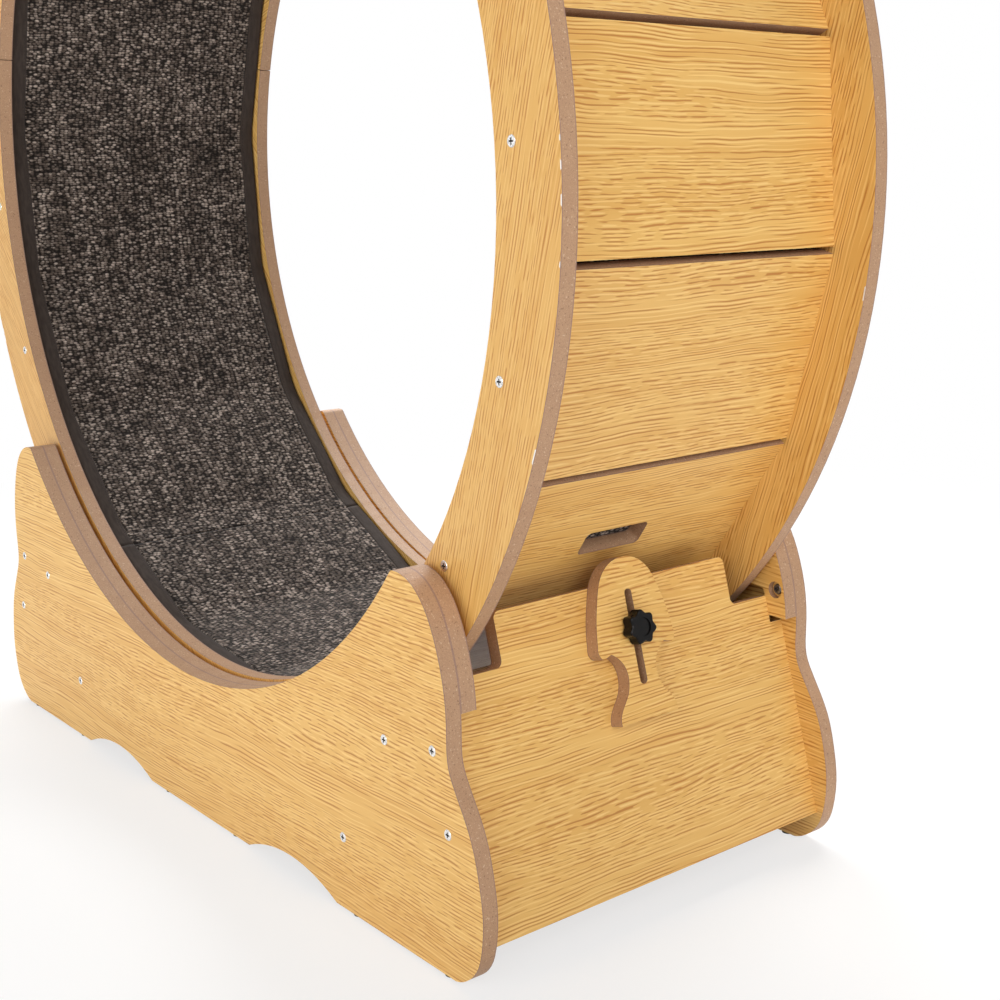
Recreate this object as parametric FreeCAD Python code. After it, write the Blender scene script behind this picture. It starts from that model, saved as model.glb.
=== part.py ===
import FreeCAD, Part
import math
import os

from FreeCAD import Rotation, Vector

# Cat exercise wheel: a slatted running wheel, lined with carpet, that turns on four
# grooved rollers in a free-standing base. A sliding plate on one end of the base locks it.
#
# Millimetres. X runs along the base towards the lock, Y along the wheel's axis and Z up.
# The origin is on the floor under the middle of the wheel. Each piece is worked out about
# the wheel's axis and lifted to its height when it is written.

# ---------------------------------------------------------------- driving dimensions

BOARD = 12.0                  # thickness of every laminated board
SCREW_GAP = 0.05              # between a screw and its hole

# the wheel
RIM_RADIUS = 450.0
RIM_WIDTH = 60.0              # of the rim's ring, outer edge to inner edge
RIM_SEGMENTS = 3              # to each rim
SEGMENT_GAP = 0.8             # where two segments meet
SLAT_COUNT = 18
SLAT_LENGTH = 260.0           # between the two rims
SLAT_RECESS = 10.0            # from the rims' inner edge to the slats' inner faces
SLAT_GAP = 1.0                # between the inner edges of two slats
FIRST_SLAT = 3.2              # angle of the first slat's middle above +X, in degrees
FIRST_SEAM_SLAT = 2           # the rim segments meet at the middle of this slat
SEAM_SCREW_OFFSET = 12.0      # two screws, this far each side of a rim joint

# the carpet inside the wheel
CARPET = 6.0                  # thickness of the runner with its pile
CARPET_GLUE = 0.3             # between the slats and the carpet's back
CARPET_SIDE_GAP = 1.0         # to each rim
CARPET_BEND = 30.0            # radius of the pile where the carpet turns at a slat joint
BINDING_WIDTH = 10.0          # of the sewn edge on each side
BINDING_RISE = 0.6            # of the sewn edge above the pile
CARPET_SEAM = 237.0           # angle of the carpet's end joint, in degrees
CARPET_SEAM_GAP = 1.2

# the lock windows in the slats: two whole windows, and two shared by a pair of slats
WINDOW_LENGTH = 57.0          # along the wheel's axis
WINDOW_ABOVE = 10.0           # from the slat's middle to the window's upper edge
WINDOW_BELOW = 12.0
WINDOW_CORNER = 4.0
EDGE_NOTCH = 15.0             # depth of the half windows at a slat joint
LOCK_SLAT = 16                # counted from 0
STATIONS = 4                  # places around the wheel where it can be locked

# the base
WHEEL_FLOOR_GAP = 62.0        # from the floor to the wheel's lowest point
PAD_DIAMETER = 10.0
PAD_THICKNESS = 2.0
SADDLE_OVERLAP = 1.0          # the saddle's radius is this much over the rims' inner radius
SIDE_GAP = 4.0                # between a rim and the saddle plate beside it
HORN_ANGLE = 38.7             # of the horn's tip below the wheel's axis, in degrees
HORN_FLAT = 7.0               # length of the level tip
HORN_CORNER = 5.0
ARCH_LENGTH = 130.0
ARCH_RISE = 14.0
ARCH_MIDDLE = 152.0           # from the middle of the base
SADDLE_END = 182.0            # height of the saddle plates' cut ends above the floor
SADDLE_BOTTOM = 72.0          # height of their lower edge
# the wavy end of a side panel: height above the floor and reach beyond the end panel
SIDE_WAVE = ((265.4, 0.0), (262.4, 5.4), (256.0, 11.7), (225.0, 20.8), (197.0, 20.1),
             (172.0, 14.5), (148.0, 9.1), (135.0, 11.9), (105.0, 20.2), (82.0, 20.2),
             (57.0, 16.7), (36.0, 9.1), (21.9, 1.0), (12.5, -8.4), (6.4, -17.8), (3.4, -24.6))
FOOT_HEEL = -30.0             # reach of the place where that end meets the sole

# the end panels, leaning in at the top
END_LEAN = 15.3               # degrees from upright
END_ROLLER_GAP = 6.2          # from the rollers' flanges to the end panel
END_SLAT_GAP = 8.5            # from the turning slats to the end panel's top edge
END_RIM_GAP = 8.0             # from the rims to the bottom of their notches
RIM_NOTCH = 21.7              # from a rim's inner face to the side of the notch it runs in
NOTCH_CORNER = 5.0
END_STEP = 21.0               # from the notch down to the full width
END_FOOT = 26.0               # height of the lower edge above the floor

# the cross boards inside, under the rollers
CROSS_LEAN = 33.2             # degrees from upright
CROSS_OFFSET = 8.2            # of the board's middle plane below the rollers' centres
CROSS_ROLLER_GAP = 1.2        # from the rollers' flanges to the board's upper edge
CROSS_FOOT = 21.0             # height of the lower edge above the floor
CROSS_SADDLE_GAP = 0.5        # from the board to the saddle plates' ends

# rollers, bearings and axles
ROLLER_ANGLE = 48.0           # of the rollers below the wheel's axis, in degrees
ROLLER_GAP = 0.3              # between a rim and the bottom of the roller's groove
ROLLER_GROOVE_RADIUS = 15.0
ROLLER_FLANGE = 3.0           # height of the flanges beside the rim
ROLLER_LENGTH = 20.0
GROOVE_SIDE_GAP = 0.6         # from the rim to a flange
TYRE_INNER_RADIUS = 11.0
AXLE_DIAMETER = 8.0
AXLE_BORE_DEPTH = 8.0         # in the side panels
AXLE_END_GAP = 0.5
BEARING_OUTER = 16.0
BEARING_LENGTH = 5.0
BEARING_INNER_RING = 1.6      # wall of the inner ring
BEARING_GAP = 0.05            # running clearance, inner ring to shield
HUB_SHOULDER = 2.0            # of the hub between its two bearings
SPACER_WALL = 2.0
FIT_GAP = 0.02                # radial, of the axle in its bores
ROLLER_POCKET = 36.5          # from the axle up to the top of the saddle plate's pocket
POCKET_SIDE = 28.5            # and to its sides
POCKET_CORNER = 5.0

# screws
HEAD_DIAMETER = 7.5
HEAD_PROUD = 0.3
SHANK_DIAMETER = 3.8
SCREW_LENGTH = 38.0
PAN_DIAMETER = 8.0
PAN_HEIGHT = 2.8
PAN_SCREW_LENGTH = 18.0
PILOT_SPARE = 0.5             # depth of a pilot hole beyond its screw
COUNTERBORE_DIAMETER = 13.0
COUNTERBORE_DEPTH = 5.0
SIDE_SCREW_HEIGHTS = (155.6, 102.8)      # above the floor, in the end panels' edges
CROSS_SCREW_INSET = 9.0                  # from the cross board's upper edge
CROSS_SCREW_SPACING = 107.5
HORN_SCREW = (10.65, 21.0)               # outside the roller's pocket, above the plate's end
MIDDLE_SCREW = (120.0, 23.0)             # from the middle, above the plate's lower edge
PAD_PLACES = (60.0, 240.0, 352.0)        # from the middle of the base

# the lock
PLATE_HALF_WIDTHS = ((2.8, 12.5), (11.0, 22.0), (26.0, 28.5), (42.0, 33.0))
PLATE_FIN = (58.0, 35.4)      # widest place: down from the plate's top, half width
PLATE_FIN_TIP = (66.9, 32.0)
FIN_ROUNDING = 1.4
PLATE_NOTCH = (64.6, 25.0)
PLATE_WAIST = (87.7, 13.7)
PLATE_LENGTH = 115.0
PLATE_TAIL = ((20.5, 16.1), (9.0, 24.6))   # up from the plate's foot, half widths
PLATE_FOOT_HALF = 26.6
PARK_GAP = 1.0                # from the turning slats to the lowered plate
PLATE_GAP = 0.1               # between the end panel and the plate, and at the washer
BOLT_BELOW_TOP = 33.0         # from the end panel's top edge to the bolt
BOLT_DIAMETER = 6.0
BOLT_HEAD_DIAMETER = 13.0
BOLT_HEAD_HEIGHT = 3.0
SLOT_WIDTH = 6.5
SLOT_TRAVEL_DOWN = 24.5       # from the parked plate
SLOT_TRAVEL_UP = 37.0
WASHER_DIAMETER = 16.0
WASHER = 1.2
KNOB_DIAMETER = 25.0
KNOB_LOBES = 7
KNOB_LOBE_DEPTH = 2.2
KNOB_HEIGHT = 9.0
KNOB_DISH = 1.0               # depth of the hollow in the knob's face
INSERT_DIAMETER = 9.0
INSERT_LENGTH = 6.5

# ---------------------------------------------------------------- sizes that follow

RIM_INNER = RIM_RADIUS - RIM_WIDTH
RIM_FACE = SLAT_LENGTH / 2                       # inner face of a rim, from the middle
RIM_OUTSIDE = RIM_FACE + BOARD
SADDLE_FACE = RIM_OUTSIDE + SIDE_GAP
SIDE_FACE = SADDLE_FACE + BOARD
SIDE_OUTSIDE = SIDE_FACE + BOARD
AXIS_HEIGHT = WHEEL_FLOOR_GAP + RIM_RADIUS
SOLE = PAD_THICKNESS - AXIS_HEIGHT               # underside of the side panels
SADDLE_RADIUS = RIM_INNER + SADDLE_OVERLAP

SLAT_INNER = RIM_INNER + SLAT_RECESS
SLAT_OUTER = SLAT_INNER + BOARD
SLAT_STEP = 360.0 / SLAT_COUNT
SLAT_WIDTH = 2 * SLAT_INNER * math.tan(math.radians(SLAT_STEP / 2)) - SLAT_GAP
SLAT_SWEEP = math.hypot(SLAT_OUTER, SLAT_WIDTH / 2)

ROLLER_RADIUS = ROLLER_GROOVE_RADIUS + ROLLER_FLANGE
ROLLER_ORBIT = RIM_RADIUS + ROLLER_GAP + ROLLER_GROOVE_RADIUS
ROLLER_X = ROLLER_ORBIT * math.cos(math.radians(ROLLER_ANGLE))
ROLLER_Z = -ROLLER_ORBIT * math.sin(math.radians(ROLLER_ANGLE))
ROLLER_Y = (RIM_FACE + RIM_OUTSIDE) / 2
AXLE_RADIUS = AXLE_DIAMETER / 2

LEAN_COS = math.cos(math.radians(END_LEAN))
LEAN_SIN = math.sin(math.radians(END_LEAN))
END_INNER = ROLLER_X * LEAN_COS + ROLLER_Z * LEAN_SIN + ROLLER_RADIUS + END_ROLLER_GAP
END_OUTER = END_INNER + BOARD


def below(radius, distance):
    """How far down its own slope a plane at this distance from the axis meets a radius."""
    return math.sqrt(radius * radius - distance * distance)


END_TOP = -below(SLAT_SWEEP + END_SLAT_GAP, END_INNER)
END_NOTCH = -below(RIM_RADIUS + END_RIM_GAP, END_INNER)
END_SHOULDER = END_NOTCH - END_STEP
END_BOTTOM = (END_FOOT - AXIS_HEIGHT - END_INNER * LEAN_SIN) / LEAN_COS

PLATE_INNER = END_OUTER + PLATE_GAP
PLATE_OUTER = PLATE_INNER + BOARD
PLATE_TOP = -below(SLAT_SWEEP + PARK_GAP, PLATE_INNER)
BOLT_DOWN = END_TOP - BOLT_BELOW_TOP

# ---------------------------------------------------------------- helpers

AXIS = Vector(0, 1, 0)
ORIGIN = Vector(0, 0, 0)


def turned(shape, degrees):
    """The shape turned about the wheel's axis, from +X towards +Z."""
    copy = shape.copy()
    copy.rotate(ORIGIN, AXIS, -degrees)
    return copy


def placed(shape, x, y, z):
    copy = shape.copy()
    copy.translate(Vector(x, y, z))
    return copy


def mirrored(shape, normal):
    return shape.mirror(ORIGIN, normal)


def slab(edges, low, high):
    """A board: the closed outline in the XZ plane, from y = low to y = high."""
    face = Part.Face(Part.Wire(edges))
    board = face.extrude(Vector(0, high - low, 0))
    board.translate(Vector(0, low, 0))
    return board


def line(a, b):
    return Part.LineSegment(a, b).toShape()


def arc(a, through, b):
    return Part.Arc(a, through, b).toShape()


def smooth(points):
    """A smooth curve through the points."""
    curve = Part.BSplineCurve()
    curve.interpolate(points)
    return curve.toShape()


def path(points):
    return [line(a, b) for a, b in zip(points, points[1:])]


def rod(radius, low, high, x=0.0, z=0.0):
    """A cylinder along Y."""
    return Part.makeCylinder(radius, high - low, Vector(x, low, z), AXIS)


def tube(inner, outer, low, high, x=0.0, z=0.0):
    return rod(outer, low, high, x, z).cut(rod(inner, low, high, x, z))


def rounded_block(x0, x1, y0, y1, z0, z1, radius):
    """A block whose corners are rounded as seen along X."""
    block = Part.makeBox(x1 - x0, y1 - y0, z1 - z0, Vector(x0, y0, z0))
    along_x = [e for e in block.Edges if abs(e.BoundBox.XLength - (x1 - x0)) < 1e-6]
    return block.makeFillet(radius, along_x)


def edges_along_y(shape, x, z, reach=1.0):
    """The straight edges that run along Y through this place."""
    found = []
    for edge in shape.Edges:
        box = edge.BoundBox
        near = abs(box.XMin - x) < reach and abs(box.ZMin - z) < reach
        if near and box.XLength < 1e-6 and box.ZLength < 1e-6:
            found.append(edge)
    return found


def write(node, shape):
    solid = shape.copy()
    solid.translate(Vector(0, 0, AXIS_HEIGHT))
    solid.exportStep("parts/%s.step" % node)


def both_faces(shape):
    """The shape and its mirror image on the other side of the wheel."""
    return [shape, mirrored(shape, AXIS)]


def both_ends(shape):
    return [shape, mirrored(shape, Vector(1, 0, 0))]


# ---------------------------------------------------------------- screws


def cross_recess(depth):
    """The cut for a crosshead driver, in a head whose top is at y = 0."""
    long_side = HEAD_DIAMETER * 0.55
    short_side = HEAD_DIAMETER * 0.14
    bar = Part.makeBox(long_side, depth, short_side,
                       Vector(-long_side / 2, 0, -short_side / 2))
    upright = bar.copy()
    upright.rotate(ORIGIN, AXIS, 90)
    return bar.fuse(upright)


def head_depth(diameter):
    return (diameter - SHANK_DIAMETER) / 2


def countersunk_screw():
    """A flat-headed screw that points along +Y, its rim at y = 0 and its top just proud."""
    head = Part.makeCone(HEAD_DIAMETER / 2, SHANK_DIAMETER / 2, head_depth(HEAD_DIAMETER),
                         ORIGIN, AXIS)
    top = Part.makeCone(HEAD_DIAMETER / 2 - HEAD_PROUD, HEAD_DIAMETER / 2, HEAD_PROUD,
                        Vector(0, -HEAD_PROUD, 0), AXIS)
    point = Part.makeCone(SHANK_DIAMETER / 2, 0.4, SHANK_DIAMETER,
                          Vector(0, SCREW_LENGTH - SHANK_DIAMETER, 0), AXIS)
    shank = rod(SHANK_DIAMETER / 2, 0, SCREW_LENGTH - SHANK_DIAMETER)
    recess = cross_recess(1.6)
    recess.translate(Vector(0, -HEAD_PROUD, 0))
    return head.fuse([top, shank, point]).removeSplitter().cut(recess)


def countersunk_hole():
    """What a countersunk screw needs cut out of the boards."""
    cone = Part.makeCone(HEAD_DIAMETER / 2 + SCREW_GAP, SHANK_DIAMETER / 2 + SCREW_GAP,
                         head_depth(HEAD_DIAMETER), ORIGIN, AXIS)
    return cone.fuse(rod(SHANK_DIAMETER / 2 + SCREW_GAP, 0, SCREW_LENGTH + SCREW_GAP))


def pan_screw():
    """A pan-headed screw that points along +Y, its head's seat at y = 0."""
    head = rod(PAN_DIAMETER / 2, -PAN_HEIGHT, 0)
    rim = [e for e in head.Edges if abs(e.BoundBox.YMax + PAN_HEIGHT) < 1e-6]
    head = head.makeFillet(PAN_HEIGHT * 0.45, rim)
    recess = cross_recess(1.8)
    recess.translate(Vector(0, -PAN_HEIGHT, 0))
    return head.fuse(rod(SHANK_DIAMETER / 2, 0, PAN_SCREW_LENGTH)).cut(recess)


# ---------------------------------------------------------------- the wheel


def slat_angle(index):
    return FIRST_SLAT + index * SLAT_STEP


def seam_slats():
    spacing = SLAT_COUNT // RIM_SEGMENTS
    return [(FIRST_SEAM_SLAT + i * spacing) % SLAT_COUNT for i in range(RIM_SEGMENTS)]


def rim_screw_places():
    """Angle and sideways offset of each screw: one to a slat, and two where a rim is joined."""
    middle = (SLAT_INNER + SLAT_OUTER) / 2
    places = []
    for index in range(SLAT_COUNT):
        if index in seam_slats():
            aside = math.degrees(math.atan(SEAM_SCREW_OFFSET / middle))
            places += [slat_angle(index) - aside, slat_angle(index) + aside]
        else:
            places.append(slat_angle(index))
    return [(middle * math.cos(math.radians(a)), middle * math.sin(math.radians(a)))
            for a in places]


def rim_segment(index):
    """One near rim segment: a flat arc between two of the joints, drilled for its screws."""
    start = slat_angle(seam_slats()[index])
    sweep = 360.0 / RIM_SEGMENTS
    shorten = math.degrees(SEGMENT_GAP / 2 / RIM_INNER)
    a0, a1 = math.radians(start + shorten), math.radians(start + sweep - shorten)

    def at(radius, angle):
        return Vector(radius * math.cos(angle), 0, radius * math.sin(angle))

    mid = (a0 + a1) / 2
    outline = [arc(at(RIM_RADIUS, a0), at(RIM_RADIUS, mid), at(RIM_RADIUS, a1)),
               line(at(RIM_RADIUS, a1), at(RIM_INNER, a1)),
               arc(at(RIM_INNER, a1), at(RIM_INNER, mid), at(RIM_INNER, a0)),
               line(at(RIM_INNER, a0), at(RIM_RADIUS, a0))]
    board = slab(outline, -RIM_OUTSIDE, -RIM_FACE)
    hole = countersunk_hole()
    holes = [placed(hole, x, -RIM_OUTSIDE, z) for x, z in rim_screw_places()
             if 0 < (math.degrees(math.atan2(z, x)) - start) % 360 < sweep]
    return board.cut(holes)


def lock_stations():
    """The angle of each lock station, measured from the middle of the first slat."""
    first = LOCK_SLAT * SLAT_STEP
    return [(first + i * 360.0 / STATIONS) % 360 for i in range(STATIONS)]


def slat(index):
    """One slat, drilled at both ends, with the lock window or the half window that is in it."""
    board = Part.makeBox(BOARD, SLAT_LENGTH, SLAT_WIDTH,
                         Vector(SLAT_INNER, -RIM_FACE, -SLAT_WIDTH / 2))
    cuts = []
    half = WINDOW_LENGTH / 2
    for station in lock_stations():
        away = (station - index * SLAT_STEP + 180) % 360 - 180
        if abs(away) < 0.01:
            cuts.append(rounded_block(SLAT_INNER - 1, SLAT_OUTER + 1, -half, half,
                                      -WINDOW_BELOW, WINDOW_ABOVE, WINDOW_CORNER))
        elif abs(abs(away) - SLAT_STEP / 2) < 0.01:
            edge = SLAT_WIDTH / 2
            low, high = edge - EDGE_NOTCH, edge + WINDOW_CORNER + 1
            if away < 0:
                low, high = -high, -low
            cuts.append(rounded_block(SLAT_INNER - 1, SLAT_OUTER + 1, -half, half,
                                      low, high, WINDOW_CORNER))
    board = turned(board.cut(cuts) if cuts else board, slat_angle(index))
    hole = placed(countersunk_hole(), 0, -RIM_OUTSIDE, 0)
    holes = []
    for x, z in rim_screw_places():
        if on_slat(x, z, index):
            holes += both_faces(placed(hole, x, 0, z))
    return board.cut(holes)


def on_slat(x, z, index):
    away = math.degrees(math.atan2(z, x)) - slat_angle(index)
    return abs((away + 180) % 360 - 180) < SLAT_STEP / 2


def rim_screws():
    screw = countersunk_screw()
    return Part.makeCompound([s for x, z in rim_screw_places()
                              for s in both_faces(placed(screw, x, -RIM_OUTSIDE, z))])


def rounded_polygon(apothem, bend):
    """The slats' polygon at this distance from the axis, its corners bent to a radius."""
    half_step = math.radians(SLAT_STEP / 2)
    corner = apothem / math.cos(half_step)
    reach = bend * math.tan(half_step)
    edges = []
    points = []
    for index in range(SLAT_COUNT):
        angle = math.radians(slat_angle(index)) + half_step
        vertex = Vector(corner * math.cos(angle), 0, corner * math.sin(angle))
        before = Vector(math.sin(angle - half_step), 0, -math.cos(angle - half_step))
        after = Vector(-math.sin(angle + half_step), 0, math.cos(angle + half_step))
        middle = Vector(math.cos(angle), 0, math.sin(angle))
        depth = corner - bend * (1 / math.cos(half_step) - 1)
        points.append((vertex + before * reach, middle * depth, vertex + after * reach))
    for index, (start, top, end) in enumerate(points):
        edges.append(arc(start, top, end))
        edges.append(line(end, points[(index + 1) % SLAT_COUNT][0]))
    return edges


def carpet_ring(low, high, thickness):
    """A lining of this thickness, open at the carpet's end joint."""
    back = SLAT_INNER - CARPET_GLUE
    outside = slab(rounded_polygon(back, CARPET_BEND + thickness), low, high)
    inside = slab(rounded_polygon(back - thickness, CARPET_BEND), low, high)
    slit = Part.makeBox(8 * CARPET, high - low, CARPET_SEAM_GAP,
                        Vector(back - 4 * CARPET, low, -CARPET_SEAM_GAP / 2))
    return outside.cut(inside).cut(turned(slit, CARPET_SEAM))


def write_wheel():
    sides = ("near", "far")
    for index in range(RIM_SEGMENTS):
        for side, segment in zip(sides, both_faces(rim_segment(index))):
            write("%s_rim_segment_%d" % (side, index + 1), segment)
    for index in range(SLAT_COUNT):
        write("slat_%02d" % (index + 1), slat(index))
    write("rim_screws", rim_screws())
    edge = RIM_FACE - CARPET_SIDE_GAP
    pile = edge - BINDING_WIDTH
    write("carpet_runner", carpet_ring(-pile, pile, CARPET))
    bindings = both_faces(carpet_ring(-edge, -pile, CARPET + BINDING_RISE))
    for side, binding in zip(sides, bindings):
        write("%s_carpet_binding" % side, binding)


# ---------------------------------------------------------------- the base


def end_face_x(z, distance):
    """Where the end panel's face, at this distance from the axis, stands at height z."""
    return (distance - z * LEAN_SIN) / LEAN_COS


def wave_points():
    """The wavy end of the side panels, from the horn down to the foot."""
    places = SIDE_WAVE + ((PAD_THICKNESS, FOOT_HEEL),)
    return [Vector(end_face_x(h - AXIS_HEIGHT, END_OUTER) + reach, 0, h - AXIS_HEIGHT)
            for h, reach in places]


def horn_corner():
    angle = math.radians(HORN_ANGLE)
    return Vector(SADDLE_RADIUS * math.cos(angle), 0, -SADDLE_RADIUS * math.sin(angle))


def wave_edge():
    """The curve of the wavy end, from the horn's tip to the sole, and its two ends."""
    start = horn_corner() + Vector(HORN_FLAT, 0, 0)
    points = [start] + wave_points()
    return smooth(points), start, points[-1]


def flipped(point):
    return Vector(-point.x, 0, point.z)


def arch(middle):
    half = ARCH_LENGTH / 2
    return arc(Vector(middle + half, 0, SOLE), Vector(middle, 0, SOLE + ARCH_RISE),
               Vector(middle - half, 0, SOLE))


def saddle_arc():
    corner = horn_corner()
    return arc(flipped(corner), Vector(0, 0, -SADDLE_RADIUS), corner)


def half_saddle_arc():
    corner = horn_corner()
    through = math.radians(90 + HORN_ANGLE) / 2
    middle = Vector(math.cos(through), 0, -math.sin(through)) * SADDLE_RADIUS
    return arc(Vector(0, 0, -SADDLE_RADIUS), middle, corner)


def side_outline():
    """The closed outline of a side panel."""
    wave, top, heel = wave_edge()
    half = ARCH_LENGTH / 2
    right = [line(horn_corner(), top), wave]
    left = [mirrored(e, Vector(1, 0, 0)) for e in right]
    sole = [line(heel, Vector(ARCH_MIDDLE + half, 0, SOLE)), arch(ARCH_MIDDLE),
            line(Vector(ARCH_MIDDLE - half, 0, SOLE), Vector(half - ARCH_MIDDLE, 0, SOLE)),
            arch(-ARCH_MIDDLE),
            line(Vector(-ARCH_MIDDLE - half, 0, SOLE), flipped(heel))]
    return Part.__sortEdges__([saddle_arc()] + right + sole + left)


def cross_frame():
    """The cross board's own directions: across its thickness, and down along it."""
    lean = math.radians(CROSS_LEAN)
    across = Vector(math.cos(lean), 0, -math.sin(lean))
    down = Vector(-math.sin(lean), 0, -math.cos(lean))
    return across, down


def cross_middle():
    """Distance of the cross board's middle plane from the axis, and of its upper edge."""
    across, down = cross_frame()
    roller = Vector(ROLLER_X, 0, ROLLER_Z)
    return roller.dot(across) - CROSS_OFFSET, roller.dot(down) + ROLLER_RADIUS + CROSS_ROLLER_GAP


def on_cross(aside, along):
    """A place on the cross board, from its middle plane and its upper edge."""
    across, down = cross_frame()
    middle, upper = cross_middle()
    return across * (middle + aside) + down * (upper + along)


def side_screw_places():
    """Where the countersunk screws go through a side panel, on the lock's half."""
    middle = (END_INNER + END_OUTER) / 2
    places = [Vector(end_face_x(h - AXIS_HEIGHT, middle), 0, h - AXIS_HEIGHT)
              for h in SIDE_SCREW_HEIGHTS]
    places += [on_cross(0, CROSS_SCREW_INSET + CROSS_SCREW_SPACING * i) for i in range(2)]
    return places


def four_ways(shape):
    """The shape on both ends of both sides."""
    return [s for end in both_ends(shape) for s in both_faces(end)]


def side_screw_holes():
    hole = placed(countersunk_hole(), 0, -SIDE_OUTSIDE, 0)
    return [h for p in side_screw_places() for h in four_ways(placed(hole, p.x, 0, p.z))]


def saddle_screw_places():
    aside, above = HORN_SCREW
    horn = Vector(ROLLER_X + POCKET_SIDE + aside, 0, SADDLE_END + above - AXIS_HEIGHT)
    aside, above = MIDDLE_SCREW
    return [horn, Vector(aside, 0, SADDLE_BOTTOM + above - AXIS_HEIGHT)]


def saddle_seat():
    """Where the pan heads of the saddle screws sit, from the middle of the wheel."""
    return SADDLE_FACE + COUNTERBORE_DEPTH


def side_panel():
    """The near side panel, with blind bores for the axles and the saddle screws."""
    board = slab(side_outline(), -SIDE_OUTSIDE, -SIDE_FACE)
    tip = horn_corner()
    corners = edges_along_y(board, tip.x, tip.z) + edges_along_y(board, -tip.x, tip.z)
    board = board.makeFillet(HORN_CORNER, corners)
    bore = rod(AXLE_RADIUS + FIT_GAP, -SIDE_FACE - AXLE_BORE_DEPTH, -SIDE_FACE,
               ROLLER_X, ROLLER_Z)
    pilot = rod(SHANK_DIAMETER / 2 + SCREW_GAP,
                -saddle_seat() - PAN_SCREW_LENGTH - PILOT_SPARE, -SIDE_FACE)
    cuts = side_screw_holes() + both_ends(bore)
    for p in saddle_screw_places():
        cuts += both_ends(placed(pilot, p.x, 0, p.z))
    return board.cut(cuts)


def saddle_plate():
    """The near saddle plate: the side panel's saddle and horns, over a pocket for each roller."""
    wave, top, heel = wave_edge()
    corner = horn_corner()
    bottom = Vector(0, 0, -SADDLE_RADIUS)
    low = Vector(0, 0, heel.z)
    outline = [half_saddle_arc(), line(corner, top), wave, line(heel, low), line(low, bottom)]
    board = slab(Part.__sortEdges__(outline), -SIDE_FACE, -SADDLE_FACE)
    board = board.cut([under_saddle(), pocket_block()])
    board = board.makeFillet(HORN_CORNER, edges_along_y(board, corner.x, corner.z))
    whole = board.fuse(mirrored(board, Vector(1, 0, 0))).removeSplitter()
    hole = rod(SHANK_DIAMETER / 2 + SCREW_GAP, -SIDE_FACE - 1, -SADDLE_FACE + 1)
    sunk = rod(COUNTERBORE_DIAMETER / 2, -saddle_seat(), -SADDLE_FACE + 1)
    cuts = []
    for p in saddle_screw_places():
        cuts += both_ends(placed(hole.fuse(sunk), p.x, 0, p.z))
    return whole.cut(cuts)


def under_saddle():
    """What is cut away below a saddle plate: level at its ends, then beside the cross board."""
    end_z = SADDLE_END - AXIS_HEIGHT
    bottom_z = SADDLE_BOTTOM - AXIS_HEIGHT
    across = cross_frame()[0]
    face = cross_middle()[0] - BOARD / 2 - CROSS_SADDLE_GAP
    pocket_x = ROLLER_X - POCKET_SIDE
    slope_z = (pocket_x * across.x - face) / -across.z
    slope_x = (face + bottom_z * -across.z) / across.x
    past_end = 2 * END_OUTER
    points = [(past_end, end_z), (pocket_x, end_z), (pocket_x, slope_z), (slope_x, bottom_z),
              (-past_end, bottom_z), (-past_end, -AXIS_HEIGHT), (past_end, -AXIS_HEIGHT),
              (past_end, end_z)]
    return slab(path([Vector(x, 0, z) for x, z in points]), -SIDE_FACE - 1, 1 - SADDLE_FACE)


def pocket_block():
    """The room for one roller in the near saddle plate, open below."""
    top = ROLLER_Z + ROLLER_POCKET
    low = top - 3 * ROLLER_POCKET
    block = Part.makeBox(2 * POCKET_SIDE, BOARD + 2, top - low,
                         Vector(ROLLER_X - POCKET_SIDE, -SIDE_FACE - 1, low))
    corners = (edges_along_y(block, ROLLER_X - POCKET_SIDE, top)
               + edges_along_y(block, ROLLER_X + POCKET_SIDE, top))
    return block.makeFillet(POCKET_CORNER, corners)


def leaning(shape):
    """From the end panel's own frame, X across it and Z up its slope, to the base."""
    copy = shape.copy()
    copy.rotate(ORIGIN, AXIS, -END_LEAN)
    return copy


def end_panel_board():
    """An end panel in its own frame: notched for the rims, and stepped round the saddles."""
    narrow = SADDLE_FACE
    inner = RIM_FACE - RIM_NOTCH
    points = [(-inner, END_TOP), (inner, END_TOP), (inner, END_NOTCH), (narrow, END_NOTCH),
              (narrow, END_SHOULDER), (SIDE_FACE, END_SHOULDER), (SIDE_FACE, END_BOTTOM),
              (-SIDE_FACE, END_BOTTOM), (-SIDE_FACE, END_SHOULDER), (-narrow, END_SHOULDER),
              (-narrow, END_NOTCH), (-inner, END_NOTCH), (-inner, END_TOP)]
    wire = Part.Wire(path([Vector(END_INNER, y, z) for y, z in points]))
    board = Part.Face(wire).extrude(Vector(BOARD, 0, 0))
    rounded = [e for e in board.Edges if abs(e.BoundBox.XLength - BOARD) < 1e-6
               and abs(abs(e.BoundBox.YMin) - inner) < 1e-6]
    return board.makeFillet(NOTCH_CORNER, rounded)


def bolt_hole():
    return Part.makeCylinder(BOLT_DIAMETER / 2 + FIT_GAP, 2 * BOARD,
                             Vector(END_INNER - BOARD / 2, 0, BOLT_DOWN), Vector(1, 0, 0))


def cross_board():
    """A board between the side panels, from beside the rollers down to near the floor."""
    across, down = cross_frame()
    upper = cross_middle()[1]
    length = (AXIS_HEIGHT - CROSS_FOOT + on_cross(0, 0).z) / -down.z
    half = BOARD / 2
    corners = [on_cross(-half, 0), on_cross(half, 0), on_cross(half, length),
               on_cross(-half, length), on_cross(-half, 0)]
    return slab(path(corners), -SIDE_FACE, SIDE_FACE)


def panel_screws():
    screw = placed(countersunk_screw(), 0, -SIDE_OUTSIDE, 0)
    return Part.makeCompound([s for p in side_screw_places()
                              for s in four_ways(placed(screw, p.x, 0, p.z))])


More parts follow.
